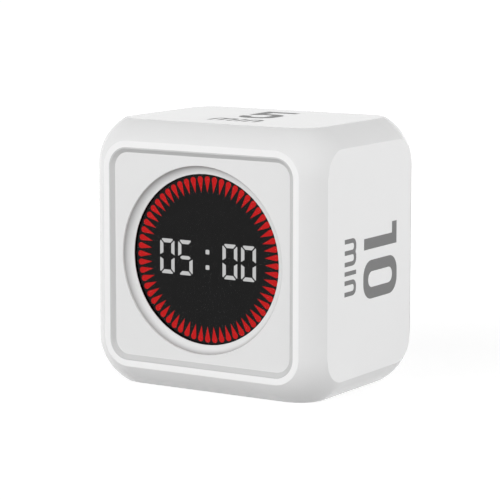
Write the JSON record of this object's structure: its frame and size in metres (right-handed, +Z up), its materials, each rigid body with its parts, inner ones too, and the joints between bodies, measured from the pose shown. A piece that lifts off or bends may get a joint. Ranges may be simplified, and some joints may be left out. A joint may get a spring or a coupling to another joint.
{
  "type": "cube timer",
  "caption": "Palm-sized cube timer: a white moulded case with planed round edges and a round lit display, turned onto a side to start a countdown.",
  "frame": {"origin": "middle of the underside, on the surface that the timer stands on", "axes": "+X to the right seen from the front, +Y towards the back, +Z up; the display faces -Y"},
  "size_m": [0.06, 0.0466, 0.06],
  "materials": {
    "white_plastic": "fine matt moulding",
    "smoked_plastic": "polished, lets the lamps through",
    "black_plastic": "matt",
    "red_diffuser": "translucent red",
    "milky_diffuser": "translucent milky",
    "circuit_board": "solder mask",
    "steel": "plated",
    "chip_plastic": "matt",
    "socket_plastic": "plain",
    "grey_plastic": "plain",
    "foam": "soft foam",
    "pouch_foil": "satin foil",
    "ribbon_film": "smooth film",
    "wire_red": "plain",
    "wire_black": "plain"
  },
  "bodies": {
    "case": {"housing": "white_plastic", "rear_cover": "white_plastic", "display_window": "smoked_plastic", "light_mask": "black_plastic", "ring_diffuser": "red_diffuser", "digit_diffuser": "milky_diffuser", "display_board": "circuit_board", "display_driver": "chip_plastic", "display_ribbon_socket": "socket_plastic", "ribbon_cable": "ribbon_film", "main_board": "circuit_board", "main_ribbon_socket": "socket_plastic", "microcontroller": "chip_plastic", "motion_sensor": "chip_plastic", "charger_chip": "chip_plastic", "usb_port": "steel", "battery": "pouch_foil", "battery_pad": "foam", "battery_socket": "socket_plastic", "battery_lead_red": "wire_red", "battery_lead_black": "wire_black", "buzzer": "black_plastic", "buzzer_gasket": "foam", "slide_switch": "steel", "minute_button_switch": "chip_plastic", "start_button_switch": "chip_plastic", "second_button_switch": "chip_plastic", "cover_screw_1": "steel", "cover_screw_2": "steel", "cover_screw_3": "steel", "cover_screw_4": "steel", "display_screw_1": "steel", "display_screw_2": "steel", "display_screw_3": "steel", "display_screw_4": "steel", "board_screw_1": "steel", "board_screw_2": "steel", "board_screw_3": "steel", "board_screw_4": "steel"},
    "minute_key": {"minute_button": "white_plastic", "minute_button_plunger": "grey_plastic"},
    "start_key": {"start_button": "white_plastic", "start_button_plunger": "grey_plastic"},
    "second_key": {"second_button": "white_plastic", "second_button_plunger": "grey_plastic"},
    "volume_slider": {"slide_knob": "grey_plastic", "slide_actuator": "chip_plastic"}
  },
  "joints": [
    {"name": "minute_press", "type": "slide", "parent": "case", "child": "minute_key", "axis": [0, -1, 0], "range_m": [0, 0.0005], "stiffness_N_per_m": 2000},
    {"name": "start_press", "type": "slide", "parent": "case", "child": "start_key", "axis": [0, -1, 0], "range_m": [0, 0.0005], "stiffness_N_per_m": 2000},
    {"name": "second_press", "type": "slide", "parent": "case", "child": "second_key", "axis": [0, -1, 0], "range_m": [0, 0.0005], "stiffness_N_per_m": 2000},
    {"name": "volume_slide", "type": "slide", "parent": "case", "child": "volume_slider", "axis": [1, 0, 0], "range_m": [-0.002, 0.002]}
  ]
}
